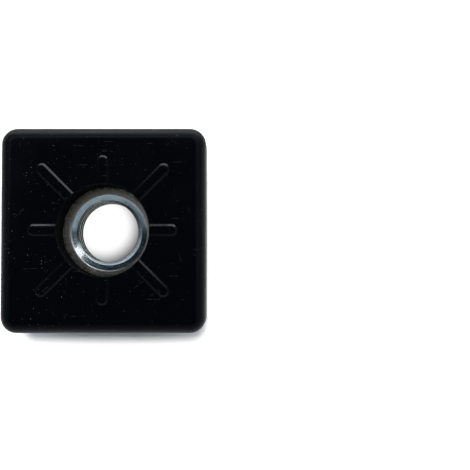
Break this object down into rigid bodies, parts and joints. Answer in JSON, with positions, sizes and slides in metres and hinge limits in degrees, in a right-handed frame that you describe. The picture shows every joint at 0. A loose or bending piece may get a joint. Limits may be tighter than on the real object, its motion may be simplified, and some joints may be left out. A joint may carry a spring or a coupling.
{
  "type": "threaded tube insert",
  "caption": "Square push-in plug for a tube end, with barbed sides, a ribbed face and a threaded steel bush.",
  "frame": {"origin": "on the thread's axis, in the plane of the open end's rim, which it stands on", "axes": "+Z along the thread's axis, out of the head's face; X and Y square to the sides of the tube"},
  "size_m": [0.0254, 0.0254, 0.0173],
  "materials": {
    "black_plastic": "moulded black plastic with a satin gloss, faint grain and fine scratches",
    "zinc_plated_steel": "bright blue-white zinc plating over turned steel"
  },
  "bodies": {
    "root": {"plug_body": "black_plastic", "threaded_bush": "zinc_plated_steel"}
  },
  "joints": []
}
